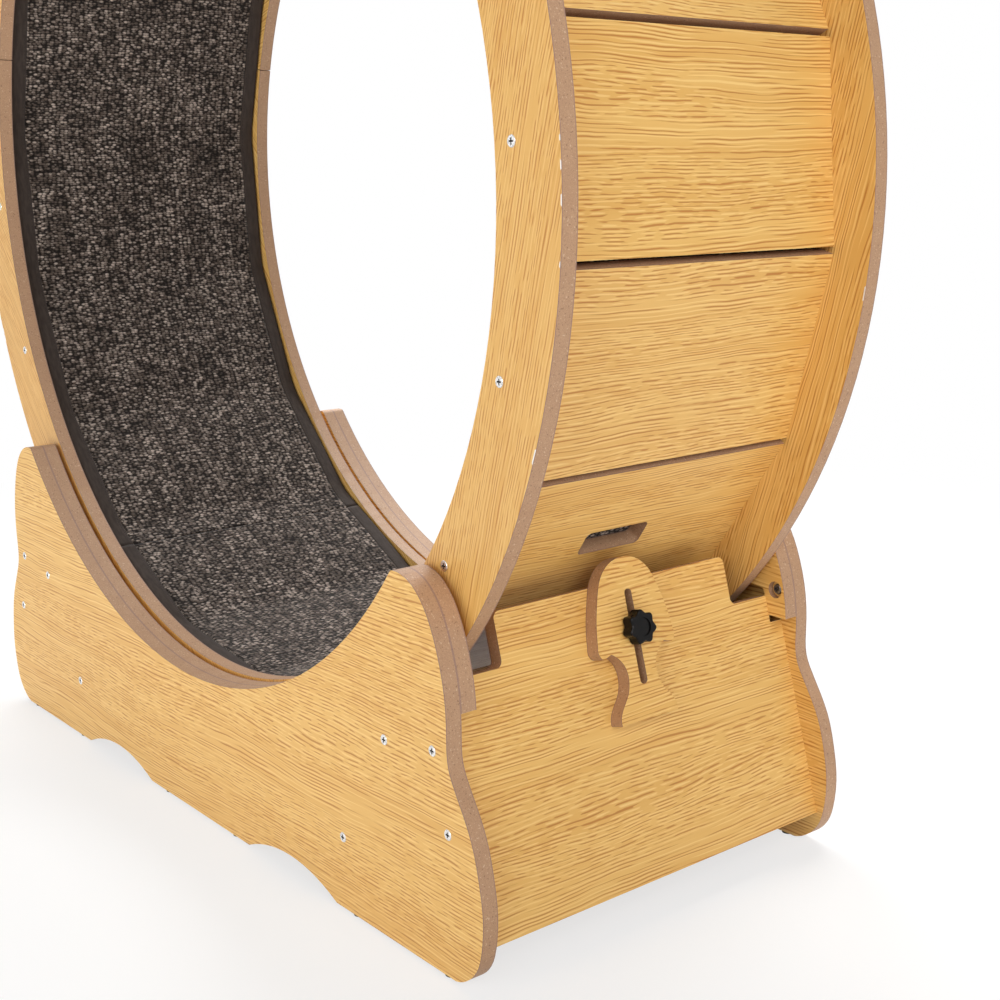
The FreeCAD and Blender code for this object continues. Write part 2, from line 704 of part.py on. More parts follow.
def saddle_screws():
    screw = placed(pan_screw(), 0, saddle_seat(), 0)
    return Part.makeCompound([s for p in saddle_screw_places()
                              for s in four_ways(placed(screw, p.x, 0, p.z))])


def foot_pads():
    middle = (SIDE_FACE + SIDE_OUTSIDE) / 2
    pads = []
    for x in PAD_PLACES:
        pad = Part.makeCylinder(PAD_DIAMETER / 2, PAD_THICKNESS, Vector(x, -middle, -AXIS_HEIGHT))
        pads += four_ways(pad)
    return Part.makeCompound(pads)


def write_base():
    panels = both_faces(side_panel())
    saddles = both_faces(saddle_plate())
    for side, panel, saddle in zip(("near", "far"), panels, saddles):
        write("%s_side_panel" % side, panel)
        write("%s_saddle_plate" % side, saddle)
    holes = side_screw_holes()
    end = end_panel_board()
    write("lock_end_panel", leaning(end.cut(bolt_hole())).cut(holes))
    write("plain_end_panel", both_ends(leaning(end))[1].cut(holes))
    lock_side, plain_side = both_ends(cross_board())
    write("lock_side_cross_board", lock_side.cut(holes))
    write("plain_side_cross_board", plain_side.cut(holes))
    write("panel_screws", panel_screws())
    write("saddle_screws", saddle_screws())
    write("foot_pads", foot_pads())


# ---------------------------------------------------------------- rollers and axles


def spun(profile, x, z, y):
    """A turned piece: radius and place along the axle, spun about the axle at (x, z)."""
    points = [Vector(r, along, 0) for r, along in profile]
    face = Part.Face(Part.Wire(path(points + points[:1])))
    solid = face.revolve(ORIGIN, AXIS, 360)
    solid.translate(Vector(x, y, z))
    return solid


def tyre(x, y, z):
    """The grooved tread that the rim runs in."""
    half = ROLLER_LENGTH / 2
    groove = BOARD / 2 + GROOVE_SIDE_GAP
    flank = groove + ROLLER_FLANGE * 0.25
    floor, top, seat = ROLLER_GROOVE_RADIUS, ROLLER_RADIUS, TYRE_INNER_RADIUS
    return spun([(seat, -half), (top - 0.8, -half), (top, -half + 0.8), (top, -flank),
                 (floor, -groove), (floor, groove), (top, flank), (top, half - 0.8),
                 (top - 0.8, half), (seat, half)], x, z, y)


def hub(x, y, z):
    """The hub, with a seat for a bearing at each end and a shoulder between them."""
    half = ROLLER_LENGTH / 2
    seat = BEARING_OUTER / 2
    shoulder = half - BEARING_LENGTH
    neck = seat - HUB_SHOULDER
    return spun([(seat, -half), (TYRE_INNER_RADIUS, -half), (TYRE_INNER_RADIUS, half),
                 (seat, half), (seat, shoulder), (neck, shoulder), (neck, -shoulder),
                 (seat, -shoulder)], x, z, y)


def bearing_places(y):
    """The low ends of a roller's two bearings."""
    half = ROLLER_LENGTH / 2
    return y - half, y + half - BEARING_LENGTH


def shielded_rings(x, y, z):
    inner = AXLE_RADIUS + BEARING_INNER_RING + BEARING_GAP
    return Part.makeCompound([tube(inner, BEARING_OUTER / 2, low, low + BEARING_LENGTH, x, z)
                              for low in bearing_places(y)])


def inner_rings(x, z):
    outer = AXLE_RADIUS + BEARING_INNER_RING
    return [tube(AXLE_RADIUS + FIT_GAP, outer, low, low + BEARING_LENGTH, x, z)
            for y in (-ROLLER_Y, ROLLER_Y) for low in bearing_places(y)]


def axle(x, z):
    reach = SIDE_FACE + AXLE_BORE_DEPTH - AXLE_END_GAP
    return rod(AXLE_RADIUS, -reach, reach, x, z)


def spacers(x, z):
    """A long tube between the two rollers of an axle, and a short one outside each."""
    inner, outer = AXLE_RADIUS + FIT_GAP, AXLE_RADIUS + SPACER_WALL
    end = ROLLER_Y + ROLLER_LENGTH / 2
    start = ROLLER_Y - ROLLER_LENGTH / 2
    short = tube(inner, outer, -SIDE_FACE, -end, x, z)
    return [tube(inner, outer, -start, start, x, z), short, mirrored(short, AXIS)]


def write_rollers():
    ends = (ROLLER_X, -ROLLER_X)
    corners = [(x, y) for x in ends for y in (-ROLLER_Y, ROLLER_Y)]
    for number, (x, y) in enumerate(corners, 1):
        write("roller_tyre_%d" % number, tyre(x, y, ROLLER_Z))
        write("roller_hub_%d" % number, hub(x, y, ROLLER_Z))
        write("roller_bearings_%d" % number, shielded_rings(x, y, ROLLER_Z))
    write("roller_axles", Part.makeCompound([axle(x, ROLLER_Z) for x in ends]))
    write("axle_spacers", Part.makeCompound([s for x in ends for s in spacers(x, ROLLER_Z)]))
    write("bearing_inner_rings",
          Part.makeCompound([r for x in ends for r in inner_rings(x, ROLLER_Z)]))


# ---------------------------------------------------------------- the lock


def plate_at(place, sign):
    """A place on the lock plate's outline: how far down from its top, and its half width."""
    down, half = place
    return Vector(PLATE_INNER, sign * half, PLATE_TOP - down)


def plate_head(sign):
    """The rounded head of the lock plate on one side, from near its top to the fin."""
    return [plate_at(place, sign) for place in PLATE_HALF_WIDTHS + (PLATE_FIN,)]


def plate_foot(sign):
    return plate_at((PLATE_LENGTH, PLATE_FOOT_HALF), sign)


def plate_flank(sign):
    """Below the head: round the fin, in to the waist and out to the tail."""
    fin, tip = plate_at(PLATE_FIN, sign), plate_at(PLATE_FIN_TIP, sign)
    notch, waist = plate_at(PLATE_NOTCH, sign), plate_at(PLATE_WAIST, sign)
    tail = [plate_at((PLATE_LENGTH - raised, half), sign) for raised, half in PLATE_TAIL]
    round_fin = (fin + tip) * 0.5 + Vector(0, sign * FIN_ROUNDING, -FIN_ROUNDING)
    return [arc(fin, round_fin, tip), line(tip, notch),
            smooth([notch, waist] + tail + [plate_foot(sign)])]


def lock_plate():
    """The sliding plate, in the end panel's frame: rounded head, fins, waist and tail."""
    top = Vector(PLATE_INNER, 0, PLATE_TOP)
    head = smooth(list(reversed(plate_head(-1))) + [top] + plate_head(1))
    foot = line(plate_foot(-1), plate_foot(1))
    edges = [head] + plate_flank(-1) + plate_flank(1) + [foot]
    face = Part.Face(Part.Wire(Part.__sortEdges__(edges)))
    board = face.extrude(Vector(BOARD, 0, 0))
    radius = SLOT_WIDTH / 2
    high = BOLT_DOWN + SLOT_TRAVEL_DOWN
    low = BOLT_DOWN - SLOT_TRAVEL_UP
    slot = rounded_block(PLATE_INNER - 1, PLATE_OUTER + 1, -radius, radius,
                         low - radius, high + radius, radius * 0.999)
    return board.cut(slot)


def lock_bolt():
    """A round-headed bolt from inside the end panel, out through the plate and the knob."""
    end = PLATE_OUTER + PLATE_GAP + WASHER + INSERT_LENGTH
    out = Vector(1, 0, 0)
    shank = Part.makeCylinder(BOLT_DIAMETER / 2, end - END_INNER,
                              Vector(END_INNER, 0, BOLT_DOWN), out)
    head = Part.makeCylinder(BOLT_HEAD_DIAMETER / 2, BOLT_HEAD_HEIGHT,
                             Vector(END_INNER - BOLT_HEAD_HEIGHT, 0, BOLT_DOWN), out)
    rim = [e for e in head.Edges if abs(e.BoundBox.XMax - END_INNER + BOLT_HEAD_HEIGHT) < 1e-6]
    return head.makeFillet(BOLT_HEAD_HEIGHT * 0.8, rim).fuse(shank)


def lock_washer():
    start = Vector(PLATE_OUTER + PLATE_GAP, 0, BOLT_DOWN)
    out = Vector(1, 0, 0)
    disc = Part.makeCylinder(WASHER_DIAMETER / 2, WASHER, start, out)
    return disc.cut(Part.makeCylinder(BOLT_DIAMETER / 2 + FIT_GAP, WASHER, start, out))


def knob_base():
    return PLATE_OUTER + 2 * PLATE_GAP + WASHER


def star_knob():
    """A lobed knob: its radius swells and falls as a cosine around it."""
    count = KNOB_LOBES * 8
    mean = (KNOB_DIAMETER - KNOB_LOBE_DEPTH) / 2
    points = []
    for i in range(count):
        angle = 2 * math.pi * i / count
        radius = mean + KNOB_LOBE_DEPTH / 2 * math.cos(KNOB_LOBES * angle)
        points.append(Vector(knob_base(), radius * math.sin(angle),
                             BOLT_DOWN + radius * math.cos(angle)))
    curve = Part.BSplineCurve()
    curve.interpolate(Points=points, PeriodicFlag=True)
    face = Part.Face(Part.Wire([curve.toShape()]))
    body = face.extrude(Vector(KNOB_HEIGHT, 0, 0))
    top = knob_base() + KNOB_HEIGHT
    rim = [e for e in body.Edges if abs(e.BoundBox.XMin - top) < 1e-6]
    body = body.makeFillet(1.6, rim)
    out = Vector(1, 0, 0)
    dish = Part.makeCylinder(KNOB_DIAMETER / 2 - 6, KNOB_DISH,
                             Vector(top - KNOB_DISH, 0, BOLT_DOWN), out)
    socket = Part.makeCylinder(INSERT_DIAMETER / 2, INSERT_LENGTH,
                               Vector(knob_base(), 0, BOLT_DOWN), out)
    return body.cut([dish, socket])


def knob_insert():
    out = Vector(1, 0, 0)
    start = Vector(knob_base(), 0, BOLT_DOWN)
    ring = Part.makeCylinder(INSERT_DIAMETER / 2, INSERT_LENGTH, start, out)
    return ring.cut(Part.makeCylinder(BOLT_DIAMETER / 2 + FIT_GAP, INSERT_LENGTH, start, out))


def write_lock():
    write("lock_plate", leaning(lock_plate()))
    write("lock_bolt", leaning(lock_bolt()))
    write("lock_washer", leaning(lock_washer()))
    write("star_knob", leaning(star_knob()))
    write("knob_insert", leaning(knob_insert()))


os.makedirs("parts", exist_ok=True)
write_wheel()
write_base()
write_rollers()
write_lock()
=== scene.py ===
# %% [markdown]
# # A cat exercise wheel
#
# The wheel is two rims of laminated board with slats between them, lined with a strip of loop
# pile carpet. It turns on rollers in a base made of the same board, and a sliding plate with a
# star knob locks it. The boards, screws and rollers arrive as a finished frame at real size.
# This lesson gives them their surfaces and makes the carpet, which is soft and so isn't in the
# frame in its final form.

# %% Load the frame
import math

import bpy
import numpy as np
from mathutils import Matrix


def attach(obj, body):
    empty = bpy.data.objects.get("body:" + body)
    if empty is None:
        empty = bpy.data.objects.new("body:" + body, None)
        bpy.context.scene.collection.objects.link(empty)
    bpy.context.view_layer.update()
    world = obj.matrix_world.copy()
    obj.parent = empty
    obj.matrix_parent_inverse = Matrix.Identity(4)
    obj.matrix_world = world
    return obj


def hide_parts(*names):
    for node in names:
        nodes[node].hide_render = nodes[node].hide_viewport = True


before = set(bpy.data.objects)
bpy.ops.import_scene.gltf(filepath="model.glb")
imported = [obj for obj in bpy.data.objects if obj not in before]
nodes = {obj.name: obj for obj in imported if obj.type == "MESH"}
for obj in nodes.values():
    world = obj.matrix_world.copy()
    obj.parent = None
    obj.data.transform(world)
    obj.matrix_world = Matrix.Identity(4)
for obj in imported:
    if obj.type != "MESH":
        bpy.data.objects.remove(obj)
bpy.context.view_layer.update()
print("pieces in the frame:", len(nodes))

# %% [markdown]
# ## The camera
#
# The photograph was taken close to the wheel, a little above its axis, so the near rim looks
# much larger than the far one. A camera placed by eye never gives that. This one was worked
# out from points on the rims, slats and end panel, and is written as a place, two angles, a
# small roll and a focal length.

# %% Place the camera
AXIS_Z = 0.512
AZIMUTH, ELEVATION, ROLL = np.radians([48.904, 11.898, -0.537])
camera_place = np.array([1.10823, -0.68705, AXIS_Z + 0.00511])
back = np.array([math.sin(AZIMUTH) * math.cos(ELEVATION),
                 -math.cos(AZIMUTH) * math.cos(ELEVATION), math.sin(ELEVATION)])
right = np.cross([0, 0, 1], back)
right /= np.linalg.norm(right)
up = np.cross(back, right)
right, up = (math.cos(ROLL) * right + math.sin(ROLL) * up,
             math.cos(ROLL) * up - math.sin(ROLL) * right)


def placed(x, y, z, origin):
    """The matrix of an object whose own axes are x, y and z and which stands at origin."""
    return Matrix(np.vstack([np.column_stack([x, y, z, origin]), [0, 0, 0, 1]]).tolist())


lens = bpy.data.cameras.new("camera")
lens.sensor_width = 36.0
lens.lens = 54.596
lens.shift_x = -0.10434
lens.shift_y = -0.00889
lens.clip_start = 0.01
camera = bpy.data.objects.new("camera", lens)
camera.matrix_world = placed(right, up, back, camera_place)
bpy.context.scene.collection.objects.link(camera)
bpy.context.scene.camera = camera
print("camera at", camera_place.round(3))

# %% [markdown]
# ## Writing shader maths as expressions
#
# A procedural material is a small formula evaluated at each point of a surface. Placing its
# nodes one at a time hides that formula, so a class wraps a socket and lets `+`, `-`, `*` and
# `/` add the Math nodes. Everything else comes from one method, `node`. The world has a node
# tree too, so the same class builds it, and a paint is a tree that ends in a shader.

# %% A field, a tree of nodes and a paint
class Field:
    """A shader value that can stand in an expression."""

    def __init__(self, tree, socket):
        self.tree = tree
        self.socket = socket

    def math(self, operation, *values):
        inputs = dict(enumerate((self,) + values))
        return self.tree.node("ShaderNodeMath", {"operation": operation}, inputs)

    def __add__(self, other):
        return self.math("ADD", other)

    def __sub__(self, other):
        return self.math("SUBTRACT", other)

    def __mul__(self, other):
        return self.math("MULTIPLY", other)

    def __truediv__(self, other):
        return self.math("DIVIDE", other)

    def __rsub__(self, other):
        return self * -1.0 + other

    __radd__ = __add__
    __rmul__ = __mul__

    def size(self):
        return self.math("ABSOLUTE")

    def step(self, low, high):
        """0 below low and 1 above high, with a smooth rise between them."""
        return self.tree.node("ShaderNodeMapRange", {"interpolation_type": "SMOOTHSTEP"},
                              {"Value": self, "From Min": low, "From Max": high})

    def dot(self, direction):
        return self.tree.node("ShaderNodeVectorMath", {"operation": "DOT_PRODUCT"},
                              {0: self, 1: tuple(direction)}, "Value")

    def away_from_axis(self):
        """Distance from the wheel's axis: the length of the vector with its Y taken out."""
        across = self.tree.node("ShaderNodeVectorMath", {"operation": "MULTIPLY_ADD"},
                                {0: self, 1: (1.0, 0.0, 1.0), 2: (0.0, 0.0, -AXIS_Z)})
        return self.tree.node("ShaderNodeVectorMath", {"operation": "LENGTH"}, {0: across},
                              "Value")


class Tree:
    """A node tree, and short ways to add to it."""

    def __init__(self, tree):
        self.tree = tree

    def node(self, kind, settings=None, inputs=None, out=0):
        """Adds a node, sets it up, fills its sockets and returns one output as a field."""
        made = self.tree.nodes.new(kind)
        for key, value in (settings or {}).items():
            if key == "stops":
                ramp = made.color_ramp.elements
                while len(ramp) < len(value):
                    ramp.new(0.5)
                for element, (place, colour) in zip(ramp, value):
                    element.position = place
                    element.color = (*colour, 1.0)
            else:
                setattr(made, key, value)
        for key, value in (inputs or {}).items():
            self.fill(made.inputs[key], value)
        return Field(self, made.outputs[out])

    def fill(self, socket, value):
        if isinstance(value, Field):
            self.tree.links.new(value.socket, socket)
        elif socket.type == "RGBA" and len(value) == 3:
            socket.default_value = (*value, 1.0)
        else:
            socket.default_value = value

    def place(self, out="Object"):
        return self.node("ShaderNodeTexCoord", out=out)

    def vector(self, x=0.0, y=0.0, z=0.0):
        return self.node("ShaderNodeCombineXYZ", inputs={0: x, 1: y, 2: z})

    def parts(self, vector):
        """The X and Y of a vector, as two fields."""
        first = self.node("ShaderNodeSeparateXYZ", inputs={0: vector})
        return first, Field(self, first.socket.node.outputs[1])

    def noise(self, at, scale=1.0, detail=2.0, roughness=0.5):
        return self.node("ShaderNodeTexNoise", inputs={
            "Vector": at, "Scale": scale, "Detail": detail, "Roughness": roughness})

    def mix(self, share, first, second):
        """The first colour where share is 0, the second where it is 1."""
        return self.node("ShaderNodeMix", {"data_type": "RGBA"},
                         {0: share, 6: first, 7: second}, 2)

    def seen_directly(self):
        """1 for the camera and for what metal and gloss reflect, 0 for light on a surface."""
        ray = self.node("ShaderNodeLightPath", out="Is Camera Ray")
        outputs = ray.socket.node.outputs
        glossy = Field(self, outputs["Is Glossy Ray"])
        through = Field(self, outputs["Is Transmission Ray"])
        return ray.math("MAXIMUM", glossy).math("MAXIMUM", through)


class Paint(Tree):
    """A material under construction: a tree that ends in a Principled shader."""

    def __init__(self, name):
        self.material = bpy.data.materials.new(name)
        self.material.use_nodes = True
        super().__init__(self.material.node_tree)
        self.shader = self.tree.nodes["Principled BSDF"]

    def finish(self, colour, roughness, height=None, depth=0.0001, strength=1.0, **constants):
        """Feeds the shader: colour, roughness, an optional bump, and plain numbers by name."""
        self.fill(self.shader.inputs["Base Color"], colour)
        self.fill(self.shader.inputs["Roughness"], roughness)
        if height is not None:
            bump = self.node("ShaderNodeBump", inputs={
                "Height": height, "Distance": depth, "Strength": strength})
            self.fill(self.shader.inputs["Normal"], bump)
        for name, value in constants.items():
            self.fill(self.shader.inputs[name.replace("_", " ")], value)
        return self.material


def srgb(*levels):
    """A colour as a picture shows it, 0 to 255, in the linear values that shaders mix."""
    x = np.array(levels) / 255
    return tuple(np.where(x <= 0.04045, x / 12.92, ((x + 0.055) / 1.055) ** 2.4))


def wear(name, material):
    """Gives a frame piece its material."""
    piece = nodes[name]
    if not piece.material_slots:
        piece.data.materials.append(material)
    for slot in piece.material_slots:
        slot.material = material


# %% [markdown]
# ## Laminated board
#
# The board is fibreboard with a printed oak foil on both faces. The foil is a warm tan crossed
# by fine dark pores, each with a painted highlight beside it: a pale streak that makes the pore
# look embossed. In some bands they are long straight lines, and in others they are short dashes
# that lean and wander, as where a saw meets the growth rings at a slant. The sawn edges are
# bare
# fibreboard: pinkish brown with small pale and dark specks, and a thin grey line of glue under
# each foil.
#
# One function paints any board, given the directions of its grain and its face. It picks foil
# or fibre from the surface's own normal, so an edge is bare wherever the board was cut, even
# round a curve or inside a window. On the rims, whose outer edge gets knocked, the foil has
# small white chips along it.

# %% Paint a board
FOIL_HIGHLIGHT = srgb(246, 208, 134)
FOIL_LIGHT = srgb(233, 187, 107)
FOIL_DEEP = srgb(223, 172, 91)
FOIL_PORE = srgb(176, 106, 34)
FIBRE_PALE = srgb(192, 154, 120)
FIBRE_DARK = srgb(168, 129, 98)
FIBRE_SPECK = srgb(222, 196, 168)
FIBRE_PIT = srgb(120, 86, 62)
GLUE_LINE = srgb(142, 112, 104)
GLUE_DEPTH = 0.0009
CHIP_WHITE = srgb(246, 243, 238)
CHIP_DEPTH = 0.0012
HALF_BOARD = 0.006
RIDGE_TURN = 2300.0      # radians of ridge to a metre across the grain: a line every 2.7 mm
RIDGE_DRIFT = 18.0       # radians by which noise moves a line off its even spacing
SWAY = 0.032             # metres by which the grain swings over a board's length
WANDER = 0.0038          # metres by which one line wanders from its neighbours
PORE_STRENGTH = 0.74
SHINE_STRENGTH = 0.7


def oak_foil(paint, along, aside, seed):
    """The foil's colour, and how deep its pores are, from the place along and across it.

    The grain is a sine wave across the board, bent and unevenly spaced by noise. Two more
    noises, stretched along the grain, break its lines: long ones where zone is 0 and short
    dashes where it is 1. A line is a dark pore on its crest and a painted highlight, a pale
    streak, in its trough.
    """
    def field(lengthwise, crosswise, number, across=aside, detail=2.0):
        return paint.noise(paint.vector(along * lengthwise, across * crosswise, seed + number),
                           detail=detail)

    sway = field(2.4, 8.0, 0.0)
    wander = field(20.0, 36.0, 2.0)
    bent = aside + (sway - 0.5) * SWAY + (wander - 0.5) * WANDER
    drift = field(4.0, 75.0, 1.0, bent, detail=1.0)
    ridge = (bent * RIDGE_TURN + drift * RIDGE_DRIFT).math("SINE")
    long = field(13.0, 430.0, 3.0, bent, detail=1.0).step(0.41, 0.56)
    short = field(62.0, 560.0, 4.0, bent, detail=1.0).step(0.40, 0.54)
    zone = field(2.2, 24.0, 5.0, bent).step(0.40, 0.56)
    tone = ridge * (long * (1 - zone) + short * zone)
    bands = field(1.4, 45.0, 7.0, bent).step(0.36, 0.62)
    fine = field(30.0, 900.0, 8.0, bent, detail=1.0)
    pores = tone.step(0.15, 0.95)
    shine = (tone * -1.0).step(0.1, 0.9)
    colour = paint.mix(bands * 0.6 + fine * 0.4, FOIL_DEEP, FOIL_LIGHT)
    # painted highlight: a pale streak in the trough of each grain line
    colour = paint.mix(shine * SHINE_STRENGTH, colour, FOIL_HIGHLIGHT)
    return paint.mix(pores * PORE_STRENGTH, colour, FOIL_PORE), pores


def bare_fibre(paint, spot, through):
    """The sawn edge: clouded and specked, with a line of glue near each face."""
    grit = paint.noise(spot, scale=1400.0, detail=1.0)
    cloud = paint.noise(spot, scale=70.0)
    dots = paint.noise(spot, scale=760.0, detail=0.0)
    colour = paint.mix(grit.step(0.35, 0.65) * 0.5 + cloud * 0.5, FIBRE_DARK, FIBRE_PALE)
    colour = paint.mix(dots.step(0.735, 0.77) * 0.5, colour, FIBRE_SPECK)
    colour = paint.mix((1 - dots.step(0.235, 0.27)) * 0.6, colour, FIBRE_PIT)
    glue = through.step(HALF_BOARD - GLUE_DEPTH, HALF_BOARD - GLUE_DEPTH + 0.0004)
    return paint.mix(glue * 0.7, colour, GLUE_LINE), grit


def board_paint(name, grain, face, level, seed, worn_radius=None, shade=0.0):
    """Oak foil on the two faces at level +- half a board along face, bare fibre elsewhere.

    A worn radius puts chips along a rim's outer edge, and shade darkens the foil as painted
    shade.
    """
    paint = Paint(name)
    grain, face = np.array(grain, float), np.array(face, float)
    spot = paint.place()
    is_face = paint.place("Normal").dot(face).size().step(0.6, 0.8)
    foil, pores = oak_foil(paint, spot.dot(grain), spot.dot(np.cross(face, grain)), seed)
    # painted shade: the foil is mixed towards the pore colour by the share given as shade
    foil = paint.mix(shade, foil, FOIL_PORE)
    if worn_radius:
        inner = worn_radius - CHIP_DEPTH
        rim_edge = spot.away_from_axis().step(inner, inner + 0.0003)
        torn = paint.noise(spot, scale=38.0, detail=3.0).step(0.62, 0.64)
        foil = paint.mix(rim_edge * torn, foil, CHIP_WHITE)
    fibre, grit = bare_fibre(paint, spot, (spot.dot(face) - level).size())
    colour = paint.mix(is_face, fibre, foil)
    roughness = 0.56 - is_face * 0.12 + pores * 0.1
    height = is_face * (1 - pores) + (1 - is_face) * grit
    return paint.finish(colour, roughness, height, depth=0.0001, strength=0.5)


# %% [markdown]
# ## The boards of the wheel
#
# The grain doesn't follow the whole ring. Each rim is cut as three segments from a sheet, so
# the grain runs straight along each segment's chord and changes direction at a joint. On
# the slats it runs across, along the wheel's axis. The near rim is darker than the side panel,
# though both face the same way, and no lamp here darkens only one of them, so the rim's foil
# is mixed a little darker as painted shade.

# %% Rim segments and slats
SLATS = 18
FIRST_SLAT = 3.2
SLAT_STEP = 360 / SLATS
SLAT_MIDDLE = 0.406
SEGMENTS = 3
SEGMENT_SPAN = 360 / SEGMENTS
FIRST_JOINT = FIRST_SLAT + 2 * SLAT_STEP
RIM_MIDDLE_Y = 0.136
RIM_RADIUS = 0.450
# the share by which the near rim's foil is darkened as painted shade
NEAR_RIM_PAINTED_SHADE = 0.19


def around(degrees):
    """The outward and the forward direction at an angle above +X, seen along the axis."""
    a = math.radians(degrees)
    return np.array([math.cos(a), 0, math.sin(a)]), np.array([-math.sin(a), 0, math.cos(a)])


def axis_offset(direction):
    """How far the wheel's axis lies along a direction from the origin."""
    return float(direction[2]) * AXIS_Z


for side, sign, shade in (("near", -1, NEAR_RIM_PAINTED_SHADE), ("far", 1, 0.0)):
    for number in range(SEGMENTS):
        middle = FIRST_JOINT + SEGMENT_SPAN * (number + 0.5)
        chord = around(middle)[1]
        wear(f"{side}_rim_segment_{number + 1}",
             board_paint(f"{side}_rim_{number + 1}", chord, (0, 1, 0), sign * RIM_MIDDLE_Y,
                         seed=11.0 + 5 * number + sign, worn_radius=RIM_RADIUS, shade=shade))

for number in range(SLATS):
    outward = around(FIRST_SLAT + SLAT_STEP * number)[0]
    wear(f"slat_{number + 1:02d}",
         board_paint(f"slat_{number + 1:02d}", (0, 1, 0), outward,
                     SLAT_MIDDLE + axis_offset(outward), seed=40.0 + 3 * number))
print("rim segments:", 2 * SEGMENTS, "slats:", SLATS)

# %% [markdown]
# ## The boards of the base
#
# A board's edge has a glue line at a fixed depth from each face, so its paint needs to know
# where the middle of the board lies: its distance from the middle of the base along the
# direction the board faces. The grain runs across on the end panels and along the floor on the
# side panels. The boards of the plain end mirror those of the lock's end.

# %% The boards of the base
SIDE_PANEL_Y = 0.164
SADDLE_PLATE_Y = 0.152
END_MIDDLE, CROSS_MIDDLE, PLATE_MIDDLE = 0.23927, 0.44170, 0.25137
END_LEAN = math.radians(15.3)
CROSS_LEAN = math.radians(33.2)
lean_out = np.array([math.cos(END_LEAN), 0, math.sin(END_LEAN)])
cross_out = np.array([math.cos(CROSS_LEAN), 0, -math.sin(CROSS_LEAN)])


def to_the_left(direction):
    """The same direction at the other end of the base."""
    return direction * np.array([-1, 1, 1])


for side, sign in (("near", -1), ("far", 1)):
    wear(f"{side}_side_panel",
         board_paint(f"{side}_panel", (1, 0, 0), (0, 1, 0), sign * SIDE_PANEL_Y,
                     seed=100.0 + sign))
    wear(f"{side}_saddle_plate",
         board_paint(f"{side}_saddle", (1, 0, 0), (0, 1, 0), sign * SADDLE_PLATE_Y,
                     seed=104.0 + sign))

for name, out, distance, seed in (
        ("lock_end_panel", lean_out, END_MIDDLE, 110.0),
        ("plain_end_panel", to_the_left(lean_out), END_MIDDLE, 113.0),
        ("lock_side_cross_board", cross_out, CROSS_MIDDLE, 116.0),
        ("plain_side_cross_board", to_the_left(cross_out), CROSS_MIDDLE, 119.0),
        ("lock_plate", lean_out, PLATE_MIDDLE, 122.0)):
    wear(name, board_paint(name + "_board", (0, 1, 0), out, distance + axis_offset(out), seed))
print("end panel leans", round(math.degrees(END_LEAN), 1), "degrees")

# %% [markdown]
# ## Metal, rubber and plastic
#
# The small parts are easy to leave as one grey, and then they look drawn on. Zinc on a screw
# is patchy, a steel rod is finely scratched, and moulded rubber has a dull, uneven skin.
# Each gets a noise in its colour and its roughness, at a scale that suits its size.

# %% Small parts
ZINC = srgb(246, 245, 244)
ZINC_TARNISH = srgb(206, 203, 200)
RECESS_SHADE = srgb(86, 74, 66)
RIM_HEAD = 0.1423
PANEL_HEAD = 0.1703


def metal_paint(name, pale, dark, rough, scale=900.0, head_level=None):
    """Metal with soft patches of tarnish, fine scratches, and painted shade in a screw's
    recess.

    A screw's head is flat at head_level from the middle of the wheel, and whatever lies
    deeper than that, the recess and the head's sloping rim, is painted darker as shade.
    """
    paint = Paint(name)
    spot = paint.place()
    patch = paint.noise(spot, scale=scale)
    fine = paint.noise(spot, scale=scale * 5, detail=3.0)
    colour = paint.mix(patch.step(0.35, 0.7), pale, dark)
    if head_level:
        sunk = 1 - spot.dot((0, 1, 0)).size().step(head_level - 0.0005, head_level - 0.0001)
        # painted shade: the screw's recess and the sloping rim of its head are darkened
        colour = paint.mix(sunk * 0.85, colour, RECESS_SHADE)
    return paint.finish(colour, rough + fine * 0.18, fine, depth=0.00002, Metallic=1.0)


def moulded_paint(name, pale, dark, rough, shine=0.5):
    """Rubber or plastic with a faint mottle and a fine grain."""
    paint = Paint(name)
    spot = paint.place()
    mottle = paint.noise(spot, scale=250.0)
    grain = paint.noise(spot, scale=2500.0, detail=1.0)
    colour = paint.mix(mottle.step(0.35, 0.7), pale, dark)
    return paint.finish(colour, rough + mottle * 0.1, grain, depth=0.00003,
                        Specular_IOR_Level=shine)


rim_zinc = metal_paint("rim_screw_zinc", ZINC, ZINC_TARNISH, 0.16, head_level=RIM_HEAD)
panel_zinc = metal_paint("panel_screw_zinc", ZINC, ZINC_TARNISH, 0.16, head_level=PANEL_HEAD)
dull_zinc = metal_paint("dull_zinc", srgb(150, 150, 152), srgb(96, 96, 100), 0.3)
steel = metal_paint("plain_steel", srgb(196, 198, 202), srgb(150, 152, 156), 0.28)
ground = metal_paint("ground_steel", srgb(206, 208, 212), srgb(170, 172, 178), 0.15)
brass = metal_paint("turned_brass", srgb(206, 172, 96), srgb(160, 124, 62), 0.25)
rubber = moulded_paint("black_rubber", srgb(38, 38, 38), srgb(24, 24, 24), 0.62)
hub = moulded_paint("grey_hub", srgb(74, 76, 78), srgb(54, 56, 58), 0.45)
gloss = moulded_paint("gloss_knob", srgb(18, 15, 14), srgb(9, 8, 8), 0.2, shine=0.16)

FINISHES = {"rim_screws": rim_zinc, "panel_screws": panel_zinc, "saddle_screws": dull_zinc,
            "foot_pads": rubber, "roller_axles": steel, "axle_spacers": steel,
            "bearing_inner_rings": ground, "lock_bolt": steel, "lock_washer": steel,
            "star_knob": gloss, "knob_insert": brass}
for number in range(1, 5):
    FINISHES[f"roller_tyre_{number}"] = rubber
    FINISHES[f"roller_hub_{number}"] = hub
    FINISHES[f"roller_bearings_{number}"] = ground
for name, finish in FINISHES.items():
    wear(name, finish)
print("small parts painted:", len(FINISHES))

